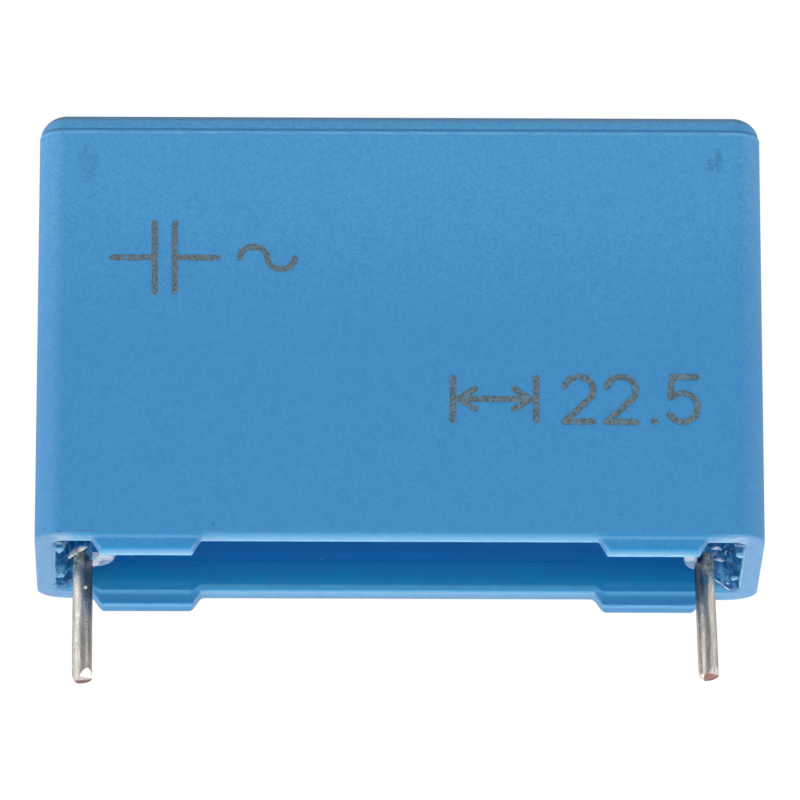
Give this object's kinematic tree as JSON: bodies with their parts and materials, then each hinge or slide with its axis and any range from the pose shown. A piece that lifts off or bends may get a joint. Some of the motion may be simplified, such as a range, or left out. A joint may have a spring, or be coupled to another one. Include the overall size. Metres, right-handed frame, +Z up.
{
  "type": "suppression capacitor",
  "caption": "Boxed film capacitor for interference suppression: moulded plastic case on small feet, resin-sealed underneath, with straight wire leads for a circuit board.",
  "frame": {"origin": "midway between the two leads, on the top face of the circuit board where the feet stand", "axes": "+X along the row of leads, +Y from the marked front face to the back, +Z up from the board to the closed top"},
  "size_m": [0.0263, 0.0086, 0.0204],
  "materials": {
    "case_plastic": "satin moulded blue",
    "resin": "glossy cast, dark blue",
    "film": "wound metallised film",
    "sprayed_metal": "rough sprayed zinc",
    "tinned_wire": "dull tin on copper wire"
  },
  "bodies": {
    "root": {"case": "case_plastic", "potting_resin": "resin", "film_winding": "film", "end_contact_left": "sprayed_metal", "end_contact_right": "sprayed_metal", "lead_left": "tinned_wire", "lead_right": "tinned_wire"}
  },
  "joints": []
}
